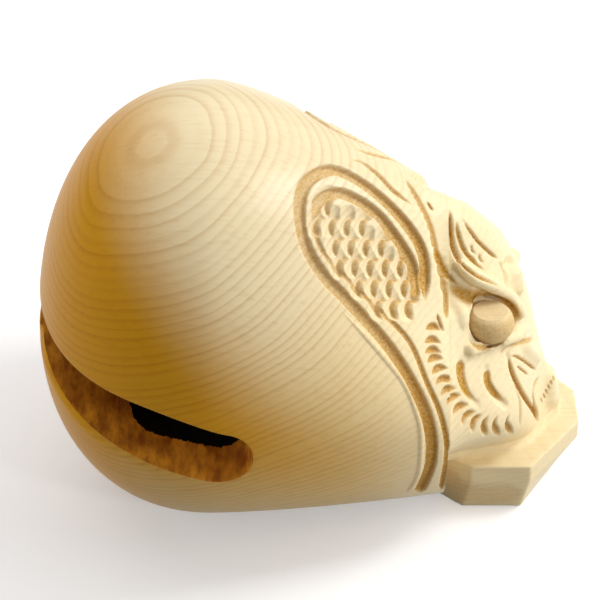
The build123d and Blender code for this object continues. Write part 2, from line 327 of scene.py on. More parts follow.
def carve(mesh, strokes):
    """Works strokes into a mesh along its normals; cuts that cross keep the deeper one, and leave a brown
    that is partly the colour of the cut wood and partly painted shade.
    """
    brown_and_shade_layer = mesh.verts.layers.float.get("stain") or mesh.verts.layers.float.new("stain")
    mesh.normal_update()
    points = np.array([vert.co for vert in mesh.verts])
    normals = np.array([vert.normal for vert in mesh.verts])
    sunk = np.zeros(len(points))
    proud = np.zeros(len(points))
    stain = np.zeros(len(points))
    for cut in strokes:
        if len(cut.path) < 2:
            continue
        near, share, on_left = reached(cut, points, normals)
        depth = sunk if cut.depth > 0 else proud
        depth[near] = np.maximum(depth[near], abs(cut.depth) * share)
        # A stroke with two half widths browns only its narrow, steep side: partly the cut's own colour and
        # partly painted shade on that wall.
        browned = share if cut.left == cut.right else share * (on_left == (cut.left < cut.right))
        stain[near] = np.maximum(stain[near], cut.stain * np.clip(browned * BROWN_AND_SHADE_SPREAD, 0, 1))
    for vert, push, brown in zip(mesh.verts, (proud - sunk).tolist(), stain.tolist()):
        moved = vert.co + push * vert.normal
        if abs(vert.co.y) < ON_PLANE:
            moved.y = 0
        if abs(vert.co.x - NECK_X) < ON_PLANE or (moved.x - NECK_X) * (vert.co.x - NECK_X) < 0:
            moved.x = NECK_X
        vert.co = moved
        vert[brown_and_shade_layer] = max(vert[brown_and_shade_layer], brown)


def refine(mesh, strokes, margin):
    """Divides the mesh once more round the strokes, so that their edges come out crisp."""
    points = np.array([vert.co for vert in mesh.verts])
    close = np.zeros(len(points), dtype=bool)
    for cut in strokes:
        if len(cut.path) > 1:
            wide = cut._replace(left=cut.left + margin, right=cut.right + margin, power=1, ends=(0, 0))
            near, share, _ = reached(wide, points, points)
            close[near[share > 0]] = True
    mesh.verts.index_update()
    edges = [edge for edge in mesh.edges if close[edge.verts[0].index] and close[edge.verts[1].index]]
    bmesh.ops.subdivide_edges(mesh, edges=edges, cuts=1, use_grid_fill=True)


def look_again():
    """Takes the two blanks as they now are for the strokes that follow."""
    surfaces[:] = [BVHTree.FromBMesh(bell_mesh), BVHTree.FromBMesh(head_mesh)]


look_again()
RIM = [(404, 177), (418, 200), (430, 226), (437, 258), (444, 290), (447, 322)]
RIM_STEP = stroke(RIM, 2.2, 9.0, 0.5, power=1.5, ends=(0.2, 0.12), stain=0)
HEAD_MASSES = {
    "brow roll": mass([(450, 226), (452, 250), (460, 268), (475, 279), (494, 287), (512, 299), (521, 315)],
                      1.0, 3.0),
    "nose wing": mass([(516, 276), (517, 288)], 2.0, 3.6, ends=(0, 0)),
    "cheek fold": mass([(470, 350), (492, 343), (514, 337), (531, 326)], 0.8, 3.0),
    "lip bulge": mass([(526, 346), (536, 356)], 1.4, 4.0, ends=(0, 0)),
    "chin bulge": mass([(550, 378), (552, 398)], 1.4, 4.0, ends=(0, 0)),
    "temple": mass([(452, 292), (462, 310), (464, 332)], 0.9, 2.6),
    "nostril": mass([(512, 262), (508, 264)], -1.6, 2.4, ends=(0, 0)),
    # The hollows under the brow, round the eye and under it are browned: partly the cut's own colour and
    # partly painted shade.
    "under brow": mass([(447, 277), (458, 290), (471, 297), (486, 298)], -1.5, 3.1, stain=1.0),
    "socket": mass([(476, 297), (494, 297), (508, 305), (515, 318), (512, 331)], -1.4, 2.3, stain=1.0),
    "eye bag": mass([(468, 339), (480, 347), (496, 345)], -0.8, 1.6, stain=0.9),
    # The jaw side is a shallow hollow browned towards the jaw's underside: painted shade.
    "jaw side": mass([(449, 478), (458, 490), (475, 495), (500, 495), (525, 490)], -0.3, 6.5,
                     ends=(0, 0.2), stain=0.32),
}
carve(bell_mesh, [RIM_STEP])
carve(head_mesh, [RIM_STEP])
carve(head_mesh, HEAD_MASSES.values())
look_again()

OUTER_GROOVE = [(425, 303), (424, 258), (407, 225), (372, 190), (335, 170), (309, 180), (300, 205),
                (305, 242), (322, 273), (352, 305), (390, 348), (416, 391), (430, 428), (431, 463),
                (419, 493)]
INNER_GROOVE = [(417, 303), (414, 270), (400, 243), (373, 210), (340, 193), (320, 201), (315, 222)]
INNER_LINE = [(315, 218), (321, 248), (352, 283), (382, 312), (410, 342), (427, 382), (441, 415), (447, 450),
              (441, 490)]
RIM_BEAD = [(340, 309), (368, 339), (392, 367), (405, 385), (415, 408), (421, 433), (419, 472), (408, 492)]
LEAF = [(349, 160), (362, 162), (380, 176), (393, 190), (414, 206)]
PANEL = {
    "outer groove": stroke(OUTER_GROOVE, 1.6, 1.75, power=9, ends=(0.04, 0.02)),
    "inner groove": stroke(INNER_GROOVE, 1.6, 1.7, power=9, ends=(0.08, 0.1)),
    "inner line": stroke(INNER_LINE, 0.9, 0.85, power=3, ends=(0.05, 0.05)),
    "rim bead": stroke(RIM_BEAD, -0.45, 0.9, ends=(0.2, 0.05), stain=0),
    "leaf": stroke(LEAF, 0.9, 1.0, ends=(0.4, 0.35)),
    # The rim foot's brown line is painted shade at the foot of the rim's step.
    "rim foot": stroke(RIM, 0.7, 1.0, ends=(0.15, 0.1), stain=0.8),
    "nape slit": stroke([(427, 201), (433, 211)], 0.7, 0.5),
    "brow root": stroke([(435, 244), (440, 262), (448, 276), (459, 286)], 1.0, 1.1),
    "ear slit": stroke([(437, 313), (440, 322), (444, 332)], 1.2, 0.6),
}

# Each scale's steep, narrow wall is browned: partly the cut's own colour and partly painted shade.
SCALE_ORIGIN = np.array((328.5, 203.5))
SCALE_STEP = np.array((15.2, 0.3))
SCALE_ROW = np.array((4.0, 20.4))
SCALE_ARC = ((10.5, -6.0), (3.5, -7.0), (0.0, -2.0), (-0.3, 5.0), (3.5, 14.0))
SCALE_ROWS = ((0, 0), (-1, 2), (0, 3), (0, 4), (1, 4), (2, 4))
SCALE_DEPTH = 1.8
SCALE_WALL = 1.35
SCALE_SLOPE = 3.4
SCALES = []
for row, (first, last) in enumerate(SCALE_ROWS):
    for place in range(first, last + 1):
        middle = SCALE_ORIGIN + row * SCALE_ROW + place * SCALE_STEP
        arc = [middle + turn for turn in SCALE_ARC]
        SCALES.append(stroke(arc, SCALE_DEPTH, SCALE_WALL, SCALE_SLOPE, power=1, ends=(0.2, 0.2)))

COMB_GUIDE = rounded([(434, 324), (433, 342), (434, 356), (440, 372), (446, 388), (455, 402), (466, 416),
                      (480, 424), (496, 425), (513, 423)], steps=12)
COMB_TEETH = 14
COMB_START = 0.3
COMB_FIRST_REACH = 8.5
COMB_LAST_REACH = 11.5
COMB_ARCH = 4.5
COMB_DEPTH = 1.3
COMB_HALF_WIDTH = 1.15
comb_length = len(COMB_GUIDE) - 1
COMB = []
for tooth in range(COMB_TEETH):
    place = round(comb_length * (tooth + COMB_START) / COMB_TEETH)
    middle = COMB_GUIDE[place]
    forward = COMB_GUIDE[min(place + 1, comb_length)] - COMB_GUIDE[place - 1]
    forward = forward / np.linalg.norm(forward)
    across = np.array((forward[1], -forward[0]))
    reach = between(COMB_FIRST_REACH, COMB_LAST_REACH, tooth / COMB_TEETH)
    arc = [middle + end * reach * across + abs(end) * COMB_ARCH * forward for end in (1, 0, -1)]
    COMB.append(stroke(arc, COMB_DEPTH, COMB_HALF_WIDTH, ends=(0.45, 0.45), stain=0.9))

HEAD_LINES = {
    "front cheek cut": stroke([(461, 359), (461, 375), (467, 392), (479, 404)], 0.8, 1.5, power=3,
                              ends=(0.12, 0.7)),
    "back cheek cut": stroke([(488, 369), (488, 382), (495, 394), (507, 405)], 0.8, 1.25, power=3,
                             ends=(0.12, 0.7)),
    "jowl": stroke([(513, 383), (520, 400), (520, 427)], 0.5, 1.0, stain=0.4),
    "upper mouth": stroke([(508, 355), (513, 373), (522, 392), (539, 422)], 1.4, 0.95, ends=(0.15, 0.15)),
    "lower mouth": stroke([(539, 420), (534, 402), (534, 388), (540, 376)], 1.8, 1.0, ends=(0.15, 0.25)),
    "long tooth": stroke([(508, 355), (520, 358), (537, 371)], 1.0, 0.5),
    "short tooth": stroke([(516, 365), (529, 375)], 0.9, 0.45),
    "muzzle crease": stroke([(498, 355), (508, 346), (522, 342), (534, 338)], 0.9, 0.8, stain=0.7),
    "outer brow": stroke([(450, 208), (450, 232), (455, 252), (463, 264), (476, 274), (502, 287)], 1.5, 0.9,
                         ends=(0.2, 0.3)),
    "middle brow": stroke([(457, 220), (458, 232), (464, 249), (474, 261), (486, 272)], 1.2, 0.8,
                          ends=(0.25, 0.35)),
    "inner brow": stroke([(462, 218), (470, 230), (479, 242), (492, 254), (499, 259)], 1.2, 0.65,
                         ends=(0.3, 0.2)),
    "nose side": stroke([(498, 261), (504, 272), (506, 288)], 1.3, 1.5, 0.5, power=1,
                        ends=(0.2, 0.3), stain=0.3),
    "front brow nick": stroke([(473, 244), (472, 249), (476, 254)], 0.8, 0.4, 1.4, power=1),
    "back brow nick": stroke([(481, 253), (480, 258), (484, 263)], 0.8, 0.4, 1.4, power=1),
}
BEARD_HAIRS = 7
BEARD_ROOT = np.array((543, 403))
BEARD_STEP = np.array((2.4, -4.4))
BEARD_LAY = np.array((-2.5, -5.5))
BEARD_DEPTH = 0.5
BEARD_HALF_WIDTH = 0.35
BEARD = []
for hair in range(BEARD_HAIRS):
    root = BEARD_ROOT + hair * BEARD_STEP
    BEARD.append(stroke([root, root + BEARD_LAY], BEARD_DEPTH, BEARD_HALF_WIDTH))

CUT_MARGINS = (1.4 * MM, 0.4 * MM)
panel_cuts = [*PANEL.values(), *SCALES, *COMB]
for margin in CUT_MARGINS:
    refine(bell_mesh, panel_cuts, margin)
carve(bell_mesh, panel_cuts)
carve(head_mesh, [*panel_cuts, *HEAD_LINES.values(), *BEARD])

# The two shells: the carved bell, mirrored, sawn in two along the mouth, hollowed and glued up again.
# The mouth is a long slot sawn through both flanks that ends in a bored eye, with its walls left raw from
# the tool. A throat behind it opens the hollow wider, and the hollow's wall is painted nearly black as
# painted shade.
MOUTH_END = Vector((-0.024, 0, 0.046))
MOUTH_TILT = math.radians(12)
MOUTH_END_RADIUS = 0.0085
MOUTH_FRONT_HALF = 0.0055
MOUTH_ARCH = 0.00225
MOUTH_ARCH_REACH = 0.022
MOUTH_FRONT = -0.0545
UPPER_LIP = 0.5
LOWER_LIP = 2.4
LOWER_LIP_ENDS = (0.35, 0)
LIP_MARGINS = (0.002, 0.0008)
LIP_SIGHTED_FROM = -1
SAWING_REACH = 0.1
HOLLOW_CENTRE = Vector((-0.02275, 0, 0.055))
HOLLOW_RADII = Vector((0.03575, 0.047, 0.042))
HOLLOW_SEGMENTS = 72
HOLLOW_RINGS = 44
THROAT_MIDDLE = -0.007
THROAT_HALF_LENGTH = 0.0175
THROAT_HALF_WIDTH = 0.0448
THROAT_HALF_HEIGHT = 0.0115
THROAT_SQUARENESS = 5
THROAT_RAGGED = 0.0035
THROAT_CHIPS = ((37, 0), (61, 1), (113, 2))
THROAT_CORNERS = 480
MORTISE_RADIUS = 0.01305
MORTISE_DEPTH = 0.0135
MORTISE_Z = 0.034
MORTISE_SEGMENTS = 64
DOWEL_RADIUS = 0.00405
DOWEL_LENGTH = 0.0246
DOWEL_PLACES = ((0.027, 0.041), (0.045, 0.030))
DOWEL_SEGMENTS = 32
SEAM_LENGTH = 0.4
SEAM_DEPTH = 0.3
SKIN, RAW, HOLLOW_SHADE = range(3)
CRISP_ANGLE = math.radians(30)
RAW_DISTANCE = 0.00025
HOLLOW_REACH = 1.003
THROAT_REACH = 1.012


def tilted(along, up, side):
    """A point of the mouth's own tilted side plane, at a distance to the side."""
    x = along * math.cos(MOUTH_TILT) + up * math.sin(MOUTH_TILT)
    z = up * math.cos(MOUTH_TILT) - along * math.sin(MOUTH_TILT)
    return MOUTH_END + Vector((x, side, z))


def upper_lip_line(steps=16):
    """The arched upper lip in the mouth's side plane, from the front to the bored eye."""
    front = (MOUTH_FRONT, MOUTH_FRONT_HALF)
    arch = (-MOUTH_ARCH_REACH, MOUTH_END_RADIUS + MOUTH_ARCH)
    eye_top = (0, MOUTH_END_RADIUS)
    return [tuple(point) for point in rounded([front, arch, eye_top], steps)]


def mouth_eye_line(steps=24):
    """The round end of the mouth, from the upper lip to the lower one."""
    turns = [math.pi / 2 - math.pi * step / steps for step in range(steps + 1)]
    return [(MOUTH_END_RADIUS * math.cos(turn), MOUTH_END_RADIUS * math.sin(turn)) for turn in turns]


def lower_lip_line(steps=24):
    """The straight lower lip, from the bored eye to the front."""
    shares = [step / steps for step in range(steps + 1)]
    return [(MOUTH_FRONT * share, -between(MOUTH_END_RADIUS, MOUTH_FRONT_HALF, share)) for share in shares]


def lip(line, radius, ends=(0, 0)):
    """Wood rounded off along an edge of the mouth."""
    flank = surfaces[0]
    inward = Vector((0, 1, 0))
    spots = [flank.ray_cast(tilted(along, up, LIP_SIGHTED_FROM), inward)[0] for along, up in line]
    path = np.array([spot for spot in spots if spot])
    size = radius * MM
    return Stroke(path, depth=size, left=size, right=size, power=ROUNDED_LIP, ends=ends, stain=0)


def block(name, shaped):
    """A closed block for a cut or a joint, shaped by a function."""
    mesh = bmesh.new()
    shaped(mesh)
    bmesh.ops.recalc_face_normals(mesh, faces=mesh.faces)
    return new_piece(name, mesh)


def round_bar(mesh, radius, length, segments, place):
    """A straight round bar, for a bore or a peg."""
    bmesh.ops.create_cone(mesh, cap_ends=True, segments=segments, radius1=radius, radius2=radius,
                          depth=length, matrix=place)


def mouth_waste(mesh):
    """The wood that is sawn out of the mouth, right through both flanks."""
    outline = upper_lip_line()[:-1] + mouth_eye_line()[:-1] + lower_lip_line()
    corners = [mesh.verts.new(tilted(along, up, -SAWING_REACH)) for along, up in outline]
    face = mesh.faces.new(corners)
    pulled = bmesh.ops.extrude_face_region(mesh, geom=[face])["geom"]
    pulled_verts = [part for part in pulled if isinstance(part, bmesh.types.BMVert)]
    bmesh.ops.translate(mesh, verts=pulled_verts, vec=(0, 2 * SAWING_REACH, 0))


def hollow_waste(mesh):
    """The egg of wood that is gouged out of the bell."""
    place = Matrix.Translation(HOLLOW_CENTRE) @ Matrix.Diagonal((*HOLLOW_RADII, 1))
    bmesh.ops.create_uvsphere(mesh, u_segments=HOLLOW_SEGMENTS, v_segments=HOLLOW_RINGS, radius=1,
                              matrix=place)


def throat_waste(mesh):
    """The ragged, squarish pocket behind the mouth, level with it."""
    bmesh.ops.create_cone(mesh, cap_ends=True, segments=THROAT_CORNERS, radius1=1, radius2=1, depth=2)
    for vert in mesh.verts:
        turn = math.atan2(vert.co.y, vert.co.x)
        outward = abs(vert.co.x) ** THROAT_SQUARENESS + abs(vert.co.y) ** THROAT_SQUARENESS
        square = outward ** (-1 / THROAT_SQUARENESS)
        square *= 1 + THROAT_RAGGED * sum(math.sin(count * turn + start) for count, start in THROAT_CHIPS)
        along = THROAT_MIDDLE + THROAT_HALF_LENGTH * square * vert.co.x
        side = THROAT_HALF_WIDTH * square * vert.co.y
        vert.co = tilted(along, THROAT_HALF_HEIGHT * vert.co.z, side)


def mortise_waste(mesh):
    """The round mortise in the bell's sawn back."""
    place = Matrix.Translation((NECK_X, 0, MORTISE_Z)) @ Matrix.Rotation(math.pi / 2, 4, "Y")
    round_bar(mesh, MORTISE_RADIUS, 2 * MORTISE_DEPTH, MORTISE_SEGMENTS, place)


def dowel_waste(mesh):
    """The dowel holes, bored across the seam."""
    for along, side in DOWEL_PLACES:
        for hand in (-1, 1):
            place = Matrix.Translation(tilted(along, 0, hand * side)) @ Matrix.Rotation(MOUTH_TILT, 4, "Y")
            round_bar(mesh, DOWEL_RADIUS, DOWEL_LENGTH, DOWEL_SEGMENTS, place)


def seam_waste(mesh):
    """All that lies below the seam."""
    bmesh.ops.create_cube(mesh, size=1)
    for vert in mesh.verts:
        vert.co = tilted(vert.co.x * SEAM_LENGTH, (vert.co.z - 0.5) * SEAM_DEPTH, vert.co.y * SEAM_LENGTH)


def cut_with(piece, waste, operation="DIFFERENCE"):
    """Cuts one closed piece with another, or joins the two."""
    cutting = piece.modifiers.new(waste.name, "BOOLEAN")
    cutting.operation = operation
    cutting.solver = "MANIFOLD"
    cutting.object = waste


def finish_half(mesh):
    """Mirrors a carved flank, closes its saw cuts and shades it smooth."""
    bmesh.ops.mirror(mesh, geom=everything(mesh), merge_dist=ON_PLANE, axis="Y")
    cap(mesh)
    saw(mesh, (0, 0, 0), (0, 0, -1))
    cap(mesh)
    bmesh.ops.recalc_face_normals(mesh, faces=mesh.faces)
    for face in mesh.faces:
        face.smooth = True
    for edge in mesh.edges:
        on_neck = all(abs(vert.co.x - NECK_X) < ON_PLANE for vert in edge.verts)
        on_floor = all(abs(vert.co.z) < ON_PLANE for vert in edge.verts)
        edge.smooth = not (on_neck or on_floor)


def in_hollow(point):
    """Whether a point lies on the wall of the hollow or of its throat behind the mouth."""
    reach = Vector((out / radius for out, radius in zip(point - HOLLOW_CENTRE, HOLLOW_RADII))).length
    level = Matrix.Rotation(-MOUTH_TILT, 3, "Y") @ (point - MOUTH_END)
    along = abs(level.x - THROAT_MIDDLE) / THROAT_HALF_LENGTH
    side = abs(level.y) / THROAT_HALF_WIDTH
    throat_reach = (along**THROAT_SQUARENESS + side**THROAT_SQUARENESS) ** (1 / THROAT_SQUARENESS)
    in_throat = throat_reach < THROAT_REACH and abs(level.z) < THROAT_REACH * THROAT_HALF_HEIGHT
    return reach < HOLLOW_REACH or in_throat


def part_raw_faces(piece, skin):
    """Tells raw faces, and the faces of the hollow that are painted nearly black as shade, from the finished
    skin, and keeps the edges between them crisp.
    """
    mesh = bmesh.new()
    mesh.from_mesh(piece.data)
    for face in mesh.faces:
        face.smooth = True
        depth = skin.find_nearest(face.calc_center_median())[3]
        face.material_index = RAW if depth > RAW_DISTANCE else SKIN
        if all(in_hollow(vert.co) for vert in face.verts):
            face.material_index = HOLLOW_SHADE
    for edge in mesh.edges:
        sides = edge.link_faces
        if len(sides) == 2 and any(side.material_index for side in sides):
            edge.smooth = edge.calc_face_angle(0) < CRISP_ANGLE
    mesh.to_mesh(piece.data)
    mesh.free()


class Wire:
    """One output of a shader node: sums on it add Math nodes, and add() puts in any other node."""

    def __init__(self, tree, socket=None):
        self.tree = tree
        self.socket = socket

    def add(self, kind, settings=None, inputs=None, output=0):
        """Puts in a node, sets it, fills its sockets and gives one of its outputs."""
        node = self.tree.nodes.new(kind)
        for name, value in (settings or {}).items():
            setattr(node, name, value)
        for name, value in (inputs or {}).items():
            if isinstance(value, Wire):
                self.tree.links.new(value.socket, node.inputs[name])
            else:
                node.inputs[name].default_value = value
        return Wire(self.tree, node.outputs[output])

    def math(self, operation, *values):
        """Puts in a Math node."""
        return self.add("ShaderNodeMath", {"operation": operation}, dict(enumerate(values)))

    def __add__(self, other):
        return self.math("ADD", self, other)

    def __sub__(self, other):
        return self.math("SUBTRACT", self, other)

    def __rsub__(self, other):
        return self.math("SUBTRACT", other, self)

    def __mul__(self, other):
        return self.math("MULTIPLY", self, other)

    def __truediv__(self, other):
        return self.math("DIVIDE", self, other)

    def __pow__(self, other):
        return self.math("POWER", self, other)

    __radd__ = __add__
    __rmul__ = __mul__


MIX_SHARE, MIX_FIRST, MIX_SECOND, MIX_RESULT = 0, 6, 7, 2


def mixed(share, first, second, blend="MIX"):
    """Two colours mixed by a share; the share or the first colour is a wire."""
    wire = share if isinstance(share, Wire) else first
    settings = {"data_type": "RGBA", "blend_type": blend}
    inputs = {MIX_SHARE: share, MIX_FIRST: first, MIX_SECOND: second}
    return wire.add("ShaderNodeMix", settings, inputs, output=MIX_RESULT)


def faded(value, start, end):
    """0 at start and 1 at end, softly."""
    limits = {"Value": value, "From Min": start, "From Max": end}
    return value.add("ShaderNodeMapRange", {"interpolation_type": "SMOOTHSTEP"}, limits)


def grainy(place, scale, detail=3.0, roughness=0.55):
    """Cloudy noise from 0 to 1."""
    return place.add("ShaderNodeTexNoise", None,
                     {"Vector": place, "Scale": scale, "Detail": detail, "Roughness": roughness})


PALER_AND_LIT_WOOD = (0.94, 0.82, 0.54, 1)
PALE_WOOD = (0.88, 0.74, 0.47, 1)
PAINTED_SHADE_WOOD = (0.74, 0.52, 0.20, 1)
SUMMER_WOOD = (0.64, 0.41, 0.15, 1)
AMBER_WOOD_AND_SHADE = (0.72, 0.34, 0.012, 1)
GOUGED_BROWN_AND_SHADE = (0.52, 0.26, 0.02, 1)
RING_TINT = (0.70, 0.50, 0.28, 1)
RAW_DARK = (0.36, 0.09, 0.006, 1)
RAW_LIGHT = (1.0, 0.42, 0.03, 1)
# The hollow's nearly black colours are painted shade.
HOLLOW_SHADE_DARK = (0.008, 0.004, 0.002, 1)
HOLLOW_SHADE_LIGHT = (0.02, 0.01, 0.005, 1)
RING_AXIS = Vector((-0.31, -0.12, 0.94)).normalized()
RING_SPACING = 0.0018
RING_DRIFT = 0.009
RING_WAVER = 0.0006
RING_CHANGE = 0.83
RING_STRENGTH = (0.2, 0.65)
RING_SHARE = 0.72
RING_SHARE_LOST_BEHIND = 0.5
LATE_WOOD_POWER = 3
LATE_WOOD_END = 12
CLOUD_SCALE = 12.0
CLOUD_RANGE = (0.35, 0.75)
SUMMER_SHARE = 0.25
WISP_SCALE = 75.0
FIBRE_SCALE = (90, 900, 900)
FIBRE_RANGE = (0.45, 0.8)
FIBRE_SHARE = 0.2
PORE_SCALE = 1600.0
PORE_RANGE = (0.35, 0.65)
CHATTER_SCALE = (260, 90, 260)
CHATTER_RANGE = (0.3, 0.7)
BACK_X = (0.0, 0.036)
PAINTED_SHADE_Z = (0.095, 0.035)
SHADE_LOST_BEHIND = 0.88
AMBER_FRONT_X = (-0.030, -0.062)
AMBER_LOW_Z = (0.068, 0.026)
AMBER_LOW_LEAN = 1.2
AMBER_FOOT_Z = (0.022, 0.056)
GOUGED_SHARE = 0.32
GOUGED_SHARE_BEHIND = 0.4
GOUGED_SHARE_OF_PORES = 0.28
OILED_SPECULAR = 0.12
OILED_ROUGHNESS = 0.33
FIBRE_ROUGHNESS = 0.08
GOUGED_ROUGHNESS = 0.3
RAW_ROUGHNESS = 0.35
SHEEN = 0.3
SHEEN_ROUGHNESS = 0.25
SHEEN_Z = (0.075, 0.1)
SHEEN_X = (-0.05, -0.02)
FIBRE_BUMP = 0.25
PORE_BUMP = 1.6
CHATTER_BUMP = 3.0
BUMP_STRENGTH = 0.35
BUMP_HEIGHT = 0.00025
MOUTH_RAWNESS = 0.92


def wood(name, raw=0.0, raw_dark=RAW_DARK, raw_light=RAW_LIGHT):
    """Oiled pale wood with growth rings, browner and rougher where it is gouged, and darker where raw.

    Some light and shade is painted into the colour: golden towards the table is painted shade; paler towards
    the head is partly painted light; amber at the front and low by the mouth is partly painted warm shade;
    and the brown of the cuts is partly painted shade.
    """
    material = bpy.data.materials.new(name)
    material.use_nodes = True
    tree = material.node_tree
    shader = tree.nodes["Principled BSDF"]
    shader.inputs["Specular IOR Level"].default_value = OILED_SPECULAR
    shader.inputs["Coat Roughness"].default_value = SHEEN_ROUGHNESS

    place = Wire(tree).add("ShaderNodeTexCoord", output="Object")
    east = place.add("ShaderNodeSeparateXYZ", None, {"Vector": place}, output="X")
    high = place.add("ShaderNodeSeparateXYZ", None, {"Vector": place}, output="Z")
    stain = place.add("ShaderNodeAttribute", {"attribute_name": "stain"}, output="Fac")
    cloud = grainy(place, CLOUD_SCALE, detail=2)
    wisp = grainy(place, WISP_SCALE)
    pores = grainy(place, PORE_SCALE, detail=2)
    fibre_place = place.add("ShaderNodeMapping", None, {"Vector": place, "Scale": FIBRE_SCALE})
    fibre = grainy(fibre_place, 1.0, detail=4)

    dot = {0: place, 1: RING_AXIS}
    height = place.add("ShaderNodeVectorMath", {"operation": "DOT_PRODUCT"}, dot, output="Value")
    rings = (height + cloud * RING_DRIFT + wisp * RING_WAVER) / RING_SPACING
    age = rings.math("FRACT", rings)
    ring_noise = {"W": rings * RING_CHANGE, "Scale": 1.0}
    strength = rings.add("ShaderNodeTexNoise", {"noise_dimensions": "1D"}, ring_noise)
    late = age**LATE_WOOD_POWER * (1 - age**LATE_WOOD_END) * faded(strength, *RING_STRENGTH)

    back = faded(east, *BACK_X)
    # Painted shade: golden towards the table, and less so towards the head.
    painted_shade = faded(high, *PAINTED_SHADE_Z) * (1 - back * SHADE_LOST_BEHIND)
    # Amber at the front end and low by the mouth: partly the wood's own warm tone and partly painted warm
    # shade.
    front_amber = faded(east, *AMBER_FRONT_X)
    low_amber = faded(high + east * AMBER_LOW_LEAN, *AMBER_LOW_Z) * faded(high, *AMBER_FOOT_Z)
    amber = front_amber.math("MAXIMUM", front_amber, low_amber)
    ringed = late * (RING_SHARE - back * RING_SHARE_LOST_BEHIND) + faded(fibre, *FIBRE_RANGE) * FIBRE_SHARE
    browned = GOUGED_SHARE + back * GOUGED_SHARE_BEHIND + faded(pores, *PORE_RANGE) * GOUGED_SHARE_OF_PORES
    # Paler towards the head: partly the wood's own tone and partly painted light from the lamps' side.
    colour = mixed(back, PALE_WOOD, PALER_AND_LIT_WOOD)
    colour = mixed(painted_shade, colour, PAINTED_SHADE_WOOD)
    colour = mixed(faded(cloud, *CLOUD_RANGE) * SUMMER_SHARE, colour, SUMMER_WOOD)
    colour = mixed(amber, colour, AMBER_WOOD_AND_SHADE)
    colour = mixed(ringed, colour, RING_TINT, "MULTIPLY")
    # The brown of the cuts: partly the colour of the cut wood and partly painted shade.
    colour = mixed(stain * browned, colour, GOUGED_BROWN_AND_SHADE)
    bumps = fibre * FIBRE_BUMP + pores * stain * PORE_BUMP
    if raw:
        chatter_place = place.add("ShaderNodeMapping", None, {"Vector": place, "Scale": CHATTER_SCALE})
        chatter = grainy(chatter_place, 1.0, detail=5, roughness=0.65)
        colour = mixed(raw, colour, mixed(faded(chatter, *CHATTER_RANGE), raw_dark, raw_light))
        bumps = bumps + chatter * CHATTER_BUMP

    rough = OILED_ROUGHNESS + fibre * FIBRE_ROUGHNESS + stain * GOUGED_ROUGHNESS + RAW_ROUGHNESS * raw
    sheen = faded(high, *SHEEN_Z) * faded(east, *SHEEN_X) * SHEEN * (1 - stain)
    bump_is = {"Height": bumps, "Strength": BUMP_STRENGTH, "Distance": BUMP_HEIGHT}
    bump = place.add("ShaderNodeBump", None, bump_is)
    finish = {"Base Color": colour, "Roughness": rough, "Coat Weight": sheen, "Normal": bump}
    for socket, wire in finish.items():
        tree.links.new(wire.socket, shader.inputs[socket])
    return material


lips = [lip(upper_lip_line(), UPPER_LIP), lip(mouth_eye_line(), UPPER_LIP),
        lip(lower_lip_line(), LOWER_LIP, LOWER_LIP_ENDS)]
for margin in LIP_MARGINS:
    refine(bell_mesh, lips, margin)
carve(bell_mesh, lips)
finish_half(bell_mesh)
bell_skin = BVHTree.FromBMesh(bell_mesh)
bell = new_piece("bell", bell_mesh)
wastes = [block("mouth", mouth_waste), block("hollow", hollow_waste), block("throat", throat_waste),
          block("mortise", mortise_waste), block("dowel_holes", dowel_waste)]
for waste in wastes:
    cut_with(bell, waste)
worked(bell)
lower_side = block("lower_side", seam_waste)
upper_shell = bell
upper_shell.name = "bell_upper"
lower_shell = bpy.data.objects.new("bell_lower", bell.data.copy())
bpy.context.scene.collection.objects.link(lower_shell)
cut_with(upper_shell, lower_side, "DIFFERENCE")
cut_with(lower_shell, lower_side, "INTERSECT")
shell_finish = wood("oiled_shell")
sawn_finish = wood("raw_mouth", raw=MOUTH_RAWNESS)
# The hollow's wall is painted nearly black: painted shade.
hollow_finish = wood("gouged_hollow", raw=1.0, raw_dark=HOLLOW_SHADE_DARK, raw_light=HOLLOW_SHADE_LIGHT)
for shell, node in ((upper_shell, "upper_shell"), (lower_shell, "lower_shell")):
    worked(shell)
    shell.data.materials.clear()
    shell.data.materials.append(shell_finish)
    shell.data.materials.append(sawn_finish)
    shell.data.materials.append(hollow_finish)
    part_raw_faces(shell, bell_skin)
    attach(shell, "root")
    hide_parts(node)
for waste in [*wastes, lower_side]:
    bpy.data.objects.remove(waste)

# The handle: the dragon's head, of the same wood as the bell and glued to its neck by one stout round tenon,
# which is left standing on the head's block. The flat nape meets the bell's sawn back, and the jaw stands
# level with the keel on the table.
TENON_RADIUS = 0.013
TENON_LENGTH = 0.013
TENON_ROOT = 0.001
TENON_SEGMENTS = 64


def tenon_block(mesh):
    """The tenon, with a short root that runs into the head."""
    middle = NECK_X + (TENON_ROOT - TENON_LENGTH) / 2
    place = Matrix.Translation((middle, 0, MORTISE_Z)) @ Matrix.Rotation(math.pi / 2, 4, "Y")
    round_bar(mesh, TENON_RADIUS, TENON_LENGTH + TENON_ROOT, TENON_SEGMENTS, place)


finish_half(head_mesh)
head.data = bpy.data.meshes.new("head")
head_mesh.to_mesh(head.data)
head_mesh.free()
tenon = block("tenon", tenon_block)
cut_with(head, tenon, "UNION")
worked(head)
bpy.data.objects.remove(tenon)
head.data.materials.clear()
head.data.materials.append(wood("oiled_handle"))
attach(head, "root")
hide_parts("handle")

